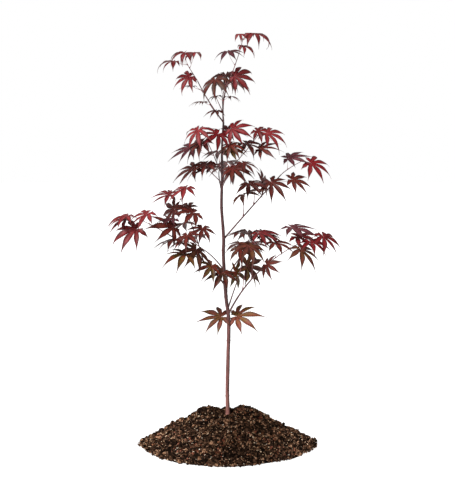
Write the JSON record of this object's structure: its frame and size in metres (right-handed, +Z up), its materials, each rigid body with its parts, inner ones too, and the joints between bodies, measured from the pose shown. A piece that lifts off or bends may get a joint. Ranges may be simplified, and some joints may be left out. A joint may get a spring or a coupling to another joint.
{
  "type": "young red japanese maple on its root ball",
  "caption": "Young red-leaved Japanese maple with a slim trunk, tiered open boughs and seven-lobed leaves, standing in a low heap of potting soil that serves as its root ball.",
  "frame": {"origin": "point on the flat underside of the soil heap straight below the trunk's foot", "axes": "+Z up along the trunk; -Y is the side seen from the front; +X is to the right seen from the front"},
  "size_m": [0.5646, 0.4331, 0.9963],
  "materials": {
    "bark": "smooth young bark, satin, purple-brown",
    "leaves_bright": "thin bright crimson leaf, soft satin",
    "leaves_brown": "thin brown-red leaf, soft satin",
    "leaves_maroon": "thin dark maroon leaf, soft satin",
    "leaves_olive": "thin olive-brown leaf, soft satin",
    "leaves_purple": "thin purple-grey leaf, soft satin",
    "leaves_red": "thin red leaf, soft satin",
    "potting_soil": "matte, crumbly, moist dark brown potting mix"
  },
  "bodies": {
    "root": {"bough_high_left": "bark", "bough_high_right": "bark", "bough_leader": "bark", "bough_low_back": "bark", "bough_low_back_left": "bark", "bough_low_front": "bark", "bough_low_left": "bark", "bough_low_left_riser": "bark", "bough_low_right": "bark", "bough_mid_back": "bark", "bough_mid_front": "bark", "bough_mid_right": "bark", "bough_top_back": "bark", "bough_top_left": "bark", "leaves_high_front": "leaves_bright", "leaves_high_front_mid": "leaves_olive", "leaves_high_left_low": "leaves_maroon", "leaves_high_left_tip": "leaves_red", "leaves_high_right_tip": "leaves_red", "leaves_leader_low": "leaves_maroon", "leaves_leader_mid": "leaves_red", "leaves_leader_tip": "leaves_red", "leaves_low_back_left_tip": "leaves_maroon", "leaves_low_back_tip": "leaves_maroon", "leaves_low_front_tip": "leaves_maroon", "leaves_low_left_low": "leaves_brown", "leaves_low_left_mid": "leaves_purple", "leaves_low_left_root": "leaves_olive", "leaves_low_left_tip": "leaves_red", "leaves_low_right_end": "leaves_maroon", "leaves_low_right_side": "leaves_olive", "leaves_low_right_tip": "leaves_bright", "leaves_low_right_upper": "leaves_red", "leaves_mid_back_tip": "leaves_maroon", "leaves_mid_front_tip": "leaves_maroon", "leaves_mid_right_end": "leaves_maroon", "leaves_mid_right_fore": "leaves_maroon", "leaves_mid_right_low": "leaves_brown", "leaves_mid_right_mid": "leaves_maroon", "leaves_mid_right_tip": "leaves_bright", "leaves_riser_low": "leaves_maroon", "leaves_riser_right": "leaves_maroon", "leaves_riser_tip": "leaves_red", "leaves_stem_front": "leaves_olive", "leaves_stem_pair": "leaves_brown", "leaves_top_back_tip": "leaves_maroon", "leaves_top_inner": "leaves_maroon", "leaves_top_left_low": "leaves_maroon", "leaves_top_left_mid": "leaves_purple", "leaves_top_left_tip": "leaves_red", "root_ball": "potting_soil", "trunk": "bark"}
  },
  "joints": []
}
